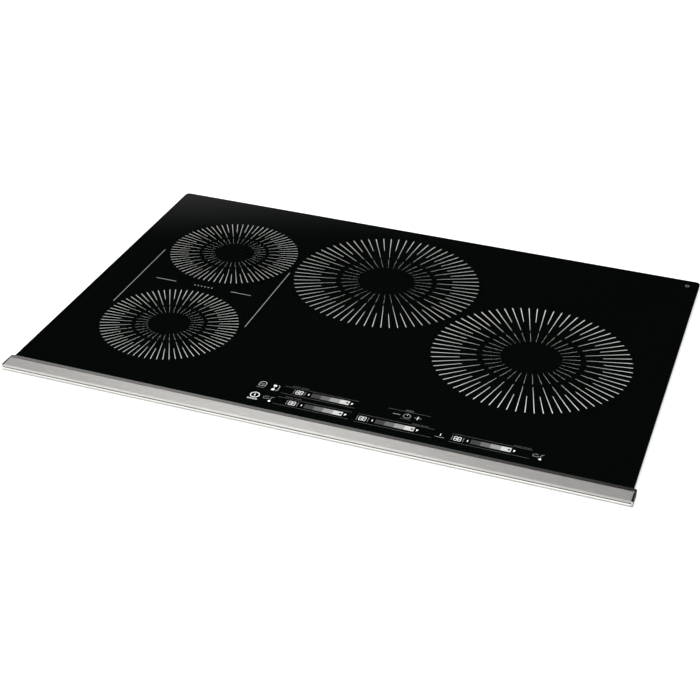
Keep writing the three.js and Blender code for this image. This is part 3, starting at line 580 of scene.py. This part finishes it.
# ---- CAD pieces that keep their shape ----
def dress(names, shade, bevel_mm):
    """Gives CAD pieces their finish, and rounds their sharp edges by bevel_mm."""
    for name in names:
        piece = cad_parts[name]
        piece.data.materials.clear()
        piece.data.materials.append(shade)
        for polygon in piece.data.polygons:
            polygon.use_smooth = True
        weld = piece.modifiers.new("weld", "WELD")
        weld.merge_threshold = 0.001 * MM
        flat = piece.modifiers.new("flat_faces", "DECIMATE")
        flat.decimate_type = "DISSOLVE"
        flat.angle_limit = math.radians(1)
        bevel = piece.modifiers.new("edge", "BEVEL")
        bevel.width = bevel_mm * MM
        bevel.segments = 2
        bevel.limit_method = "ANGLE"
        bevel.angle_limit = math.radians(30)
        even = piece.modifiers.new("flat_shading", "WEIGHTED_NORMAL")
        even.weight = 100
        even.keep_sharp = True


def named(*starts):
    return [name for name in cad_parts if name.startswith(starts)]


dress(["front_trim"], POLISHED, 0.2)
# Hot-dip galvanised sheet: dull grey with soft light and dark spangle.
GALVANISED = hidden_finish(
    "galvanised_steel", "#8d9194", "#a9adb0", (14, 14, 14), (0.35, 0.5), metallic=1.0
)
# Zinc plate, barrelled: even, cool and slightly brighter than the sheet.
ZINC = hidden_finish("zinc_plate", "#a9acae", "#bfc1c2", (3, 3, 3), (0.28, 0.4), metallic=1.0)
# Aluminium as rolled: pale, with faint streaks the way it was rolled.
ALUMINIUM = hidden_finish("mill_aluminium", "#b5b7b9", "#c6c8c9", (30, 1, 1), (0.35, 0.45), metallic=1.0)
# Enamelled copper wire, wound: a warm brown-red under clear lacquer.
COPPER = hidden_finish("enamelled_copper", "#9a5530", "#b8693c", (2, 2, 2), (0.3, 0.4), metallic=1.0)
# Ferrite, pressed and sintered: dull charcoal with a fine grain.
FERRITE = hidden_finish("sintered_ferrite", "#262628", "#323235", (1.5, 1.5, 1.5), (0.6, 0.75))
# Mica paper, pressed: pale and cloudy, with a slight silkiness.
MICA = hidden_finish("pressed_mica", "#c9c0aa", "#ded7c6", (6, 6, 6), (0.4, 0.6))
# Glass-filled polyamide, moulded: near black, with an even satin skin.
PLASTIC = hidden_finish("moulded_polyamide", "#141517", "#1d1e20", (0.8, 0.8, 0.8), (0.45, 0.6))
# Epoxy board under solder resist: deep green, smooth and slightly glossy.
BOARD = hidden_finish("solder_resist_board", "#12452a", "#1c5f3b", (5, 5, 5), (0.3, 0.45))
# Polyester film, wrapped and sealed: smooth mustard yellow.
FILM = hidden_finish("polyester_film", "#b98f28", "#cfa63a", (8, 8, 8), (0.3, 0.4))
# Closed-cell foam, cut: dull black with fine pores.
FOAM = hidden_finish("closed_cell_foam", "#141415", "#232325", (0.7, 0.7, 0.7), (0.85, 0.95))
dress(named("glass_frame", "burner_box", "terminal_cover"), GALVANISED, 0.3)
dress(named("box_screw", "bracket_screw", "clamp_screw", "hold_down"), ZINC, 0.25)
dress(named("coil_tray", "heat_sink"), ALUMINIUM, 0.2)
dress(named("coil_winding", "filter_choke"), COPPER, 0.2)
dress(named("ferrite_star"), FERRITE, 0.3)
dress(named("mica_disc"), MICA, 0.1)
dress(named("coil_support", "temp_sensor", "fan_", "ui_bracket"), PLASTIC, 0.3)
dress(named("terminal_block", "supply_gland", "clamp_foot"), PLASTIC, 0.3)
dress(named("power_board", "filter_board", "ui_board"), BOARD, 0.1)
dress(named("bus_capacitor"), FILM, 0.5)
dress(["seal_gasket"], FOAM, 0.3)


# ---- Worktop, world and lights ----
LAMINATE = "#eeeeec"
LAMINATE_PAINTED_REFLECTION = "#707070"  # painted reflection: a darker worktop that only reflections see, beside the right end
PAINTED_REFLECTION_FROM, PAINTED_REFLECTION_TO = 0.388, 0.394  # where that begins, along X


def worktop():
    """A plain pale worktop round the cut-out that the burner box hangs through, with a painted reflection
    beside the right end: reflections alone see it darker there."""
    far = 8.0
    clear = 3.5 * MM
    x0, x1 = box_low.x - clear, box_high.x + clear
    y0, y1 = box_low.y - clear, box_high.y + clear
    bm = bmesh.new()
    outer = [bm.verts.new((x, y, 0)) for x, y in ((-far, -far), (far, -far), (far, far), (-far, far))]
    inner = [bm.verts.new((x, y, 0)) for x, y in ((x0, y0), (x1, y0), (x1, y1), (x0, y1))]
    for i in range(4):
        j = (i + 1) % 4
        bm.faces.new((outer[i], outer[j], inner[j], inner[i]))
    data = bpy.data.meshes.new("worktop")
    bm.to_mesh(data)
    bm.free()
    made, tree, shader = material("pale_laminate", LAMINATE, roughness=0.6)
    shader.inputs["Specular IOR Level"].default_value = 0.1
    path = node(tree, "LightPath")
    parts = node(tree, "SeparateXYZ", {"Vector": node(tree, "TexCoord").outputs["Object"]})
    # painted reflection: glossy rays alone see the worktop darker beyond the right end, along X
    across = {"Value": parts.outputs["X"], "From Min": PAINTED_REFLECTION_FROM, "From Max": PAINTED_REFLECTION_TO}
    beside = node(tree, "MapRange", across)
    reflected = {0: path.outputs["Is Glossy Ray"], 1: beside.outputs["Result"]}
    dark = node(tree, "Math", reflected, operation="MULTIPLY")
    tones = {"Factor": dark.outputs[0], 6: hex_colour(LAMINATE), 7: hex_colour(LAMINATE_PAINTED_REFLECTION)}
    tone = node(tree, "Mix", tones, data_type="RGBA")
    tree.links.new(tone.outputs[2], shader.inputs["Base Color"])
    data.materials.append(made)
    top = bpy.data.objects.new("worktop", data)
    top.location.z = WORKTOP - 0.2 * MM
    scene.collection.objects.link(top)


AROUND = 1.5  # brightness of the white surroundings
HORIZON = 0.38  # what mirrors see low down
OVERHEAD = 2.65  # and high up
ROOM = 0.003  # between the two, the dark room
UNDER = 0.9  # and from under the worktop
# Where each of them starts and ends, as the upward part of a direction.
HORIZON_END, ROOM_START = 0.4, 0.452
OVERHEAD_START, OVERHEAD_FULL = 0.6, 0.8
UNDER_FULL, UNDER_END = -0.12, -0.02
FADE_START, FADE_END, FADED = 0.02, 0.3, 0.3  # sideways from the lights' middle, and what is left there
LEAN = 0.4  # how far the overhead light leans to the front
MIDDLE_X = -0.34  # the lights' middle, as the sideways part of a direction


def studio():
    """White surroundings. Mirrors see a dark room with a low horizon and a light overhead that fades to
    its sides, so black glass stays black and brushed steel is bright in the middle."""
    world = bpy.data.worlds.new("studio")
    scene.world = world
    world.use_nodes = True
    world.cycles.sampling_method = "NONE"
    tree = world.node_tree
    tree.nodes.clear()
    path = node(tree, "LightPath")
    parts = node(tree, "SeparateXYZ", {"Vector": node(tree, "TexCoord").outputs["Generated"]})
    across, along, up = (parts.outputs[axis] for axis in "XYZ")
    smooth = {"interpolation_type": "SMOOTHSTEP"}

    aside = node(tree, "Math", {0: across, 1: MIDDLE_X}, operation="SUBTRACT")
    away = node(tree, "Math", {0: aside.outputs[0]}, operation="ABSOLUTE")
    sides = {
        "Value": away.outputs[0],
        "From Min": FADE_START, "From Max": FADE_END, "To Min": 1.0, "To Max": FADED,
    }
    fade = node(tree, "MapRange", sides, **smooth)
    near = {
        "Value": up, "From Min": HORIZON_END, "From Max": ROOM_START, "To Min": HORIZON, "To Max": ROOM,
    }
    low = node(tree, "MapRange", near, **smooth)
    lean = node(tree, "Math", {0: along, 1: LEAN}, operation="MULTIPLY")
    leaning = node(tree, "Math", {0: up, 1: lean.outputs[0]}, operation="SUBTRACT")
    top = {
        "Value": leaning.outputs[0],
        "From Min": OVERHEAD_START, "From Max": OVERHEAD_FULL, "To Min": 0.0, "To Max": OVERHEAD,
    }
    high = node(tree, "MapRange", top, **smooth)
    both = node(tree, "Math", {0: low.outputs["Result"], 1: high.outputs["Result"]}, operation="ADD")
    above = node(tree, "Math", {0: both.outputs[0], 1: fade.outputs["Result"]}, operation="MULTIPLY")
    below = {"Value": up, "From Min": UNDER_FULL, "From Max": UNDER_END, "To Min": UNDER, "To Max": 0.0}
    under = node(tree, "MapRange", below, **smooth)
    total = node(tree, "Math", {0: above.outputs[0], 1: under.outputs["Result"]}, operation="ADD")
    strength = total.outputs[0]
    mirrored = node(tree, "Background", {"Color": (1, 1, 1, 1), "Strength": strength})
    around = node(tree, "Background", {"Color": (1, 1, 1, 1), "Strength": AROUND})
    mix = node(tree, "MixShader", {
        0: path.outputs["Is Glossy Ray"], 1: around.outputs[0], 2: mirrored.outputs[0],
    })
    node(tree, "OutputWorld", {"Surface": mix.outputs[0]})


def softbox(name, place, aim, width, depth, power):
    data = bpy.data.lights.new(name, "AREA")
    data.shape = "RECTANGLE"
    data.size = width
    data.size_y = depth
    data.energy = power
    made = bpy.data.objects.new(name, data)
    made.location = place
    made.rotation_euler = (Vector(aim) - Vector(place)).to_track_quat("-Z", "Y").to_euler()
    made.visible_glossy = False
    scene.collection.objects.link(made)


worktop()
studio()
softbox("overhead", (0.05, -0.35, 1.9), (0, -0.2, 0), 1.5, 1.3, 14)
scene.view_settings.view_transform = "Standard"
